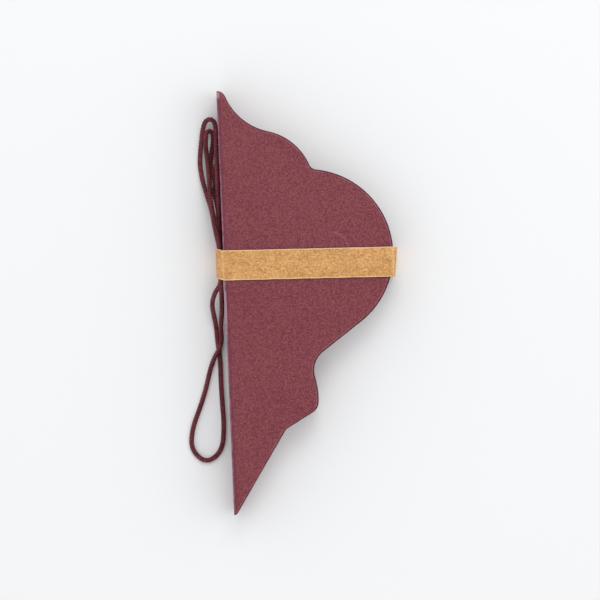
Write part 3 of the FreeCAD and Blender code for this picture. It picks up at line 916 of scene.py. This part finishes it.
# The strip's line as a chain of short edges, with its folds rounded
def bandLine(shape, y):
    corners = bandCorners()
    verts = [shape.verts.new((x, y, z)) for x, z, rounding in corners]
    for pair in zip(verts, verts[1:]):
        shape.edges.new(pair)
    for vert, rounding in zip(verts, [corner[2] for corner in corners]):
        if rounding:
            bmesh.ops.bevel(shape, geom=[vert], offset=rounding, offset_type="OFFSET",
                            segments=band["foldSteps"], profile=0.5, affect="VERTICES",
                            material=-1)
    splitLongEdges(shape, band["longestRun"])


# Sweeps the line across the band's width, with narrow rows at both cut edges, marked for the
# painted highlight along them
def sweepBand(shape, width):
    highlightMark = shape.verts.layers.float.new("edge")
    for vert in shape.verts:
        vert[highlightMark] = 1.0
    inner = (width - 2 * band["edgeWidth"]) / band["rows"]
    steps = [band["edgeWidth"]] + [inner] * band["rows"] + [band["edgeWidth"]]
    edges = shape.edges[:]
    for number, step in enumerate(steps, start=1):
        grown = bmesh.ops.extrude_edge_only(shape, edges=edges)["geom"]
        edges = onlyKind(grown, bmesh.types.BMEdge)
        verts = onlyKind(grown, bmesh.types.BMVert)
        bmesh.ops.translate(shape, verts=verts, vec=(0, step, 0))
        for vert in verts:
            vert[highlightMark] = 1.0 if number == len(steps) else 0.0


# Lays the band a little askew and lets its front and its cut edges wander
def loosenBand(shape, low, high):
    centre = (low + high) / 2
    slope = math.tan(math.radians(band["skew"]))
    frontFrom = high.z - band["frontDepth"] * band["layer"]
    for vert in shape.verts:
        away = (vert.co.y - centre.y) / (high.y - centre.y)
        place = Vector((vert.co.x, away, vert.co.z * band["sideWaves"])) / band["waveLength"]
        inside = min(vert.co.x - spineX, high.x - band["foldRound"] - vert.co.x)
        share = eased(inside / band["liftReach"]) if vert.co.z > frontFrom else 0.0
        wander = band["looseness"] * noise.noise(place * band["loosenessWaves"])
        vert.co.z += share * (band["lift"] + wander)
        vert.co.y += away * band["edgeWaver"] * noise.noise(place * band["waverWaves"])
        vert.co.y -= slope * (vert.co.x - centre.x)
        vert.co.y += band["sidePush"] * held((spineX - vert.co.x) / (spineX - low.x))
        nearBelly = max(0.0, 1 - (high.x - vert.co.x) / band["leanReach"])
        vert.co.x -= nearBelly * band["bellyLean"] * (1 - away) / 2


# Painted highlight across the band where it is creased, at a place along X in millimetres
def creaseHighlight(tree, place, at):
    return fadeOut(tree, apartFrom(tree, splitPlace(tree, place)["X"], at), *band["crease"])


# Cloudy brown with slanting fibres and dark specks
def kraftTone(tree, place):
    fine = grain(tree, place, *band["fine"])
    slanted = mapped(tree, place, Scale=band["fibreScale"],
                     Rotation=(0, 0, math.radians(band["fibreTurn"])))
    patterns = (fine, grain(tree, slanted, 1.0), grain(tree, place, *band["cloud"]))
    colour = threeTones(tree, addUp(tree, *zip(patterns, band["shares"])), band)
    speck = fadeBetween(tree, grain(tree, place, *band["specks"]),
                        *band["speckSpread"], 0.0, band["speckShare"])
    return mixColours(tree, speck, colour, band["speck"]), fine


# Brown paper, with painted highlight along its cut edges and its creases
def kraftPaint():
    paint, tree, shader = newPaint("kraftPaper", band["finish"])
    place = placeInMillimetres(tree)
    colour, fine = kraftTone(tree, place)
    crease = strongest(tree, creaseHighlight(tree, place, band["spineCrease"]),
                       creaseHighlight(tree, place, band["bellyCrease"]))
    # painted highlight along the cut edges and the creases
    paintedHighlight = strongest(tree, fadeBetween(tree, marked(tree, "edge"), *band["highlightShow"]), crease)
    share = product(tree, paintedHighlight, band["paleLineShare"])
    tree.links.new(mixColours(tree, share, colour, band["edge"]), shader.inputs["Base Color"])
    addBump(tree, shader, fine, *band["relief"])
    return paint


def makeBand():
    low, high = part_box("paper_band")
    shape = bmesh.new()
    bandLine(shape, low.y)
    sweepBand(shape, high.y - low.y)
    bmesh.ops.recalc_face_normals(shape, faces=shape.faces)
    bmesh.ops.solidify(shape, geom=shape.faces[:], thickness=band["thickness"])
    loosenBand(shape, low, high)
    piece = finishPiece("kraftBand", shape, kraftPaint())
    dress(piece, "kraft_paper", "paper_band")
    print("band:", len(piece.data.polygons), "faces")


makeCamera()
makeStudio()
makeCord()
makeLeaves()
makeCovers()
makeBand()
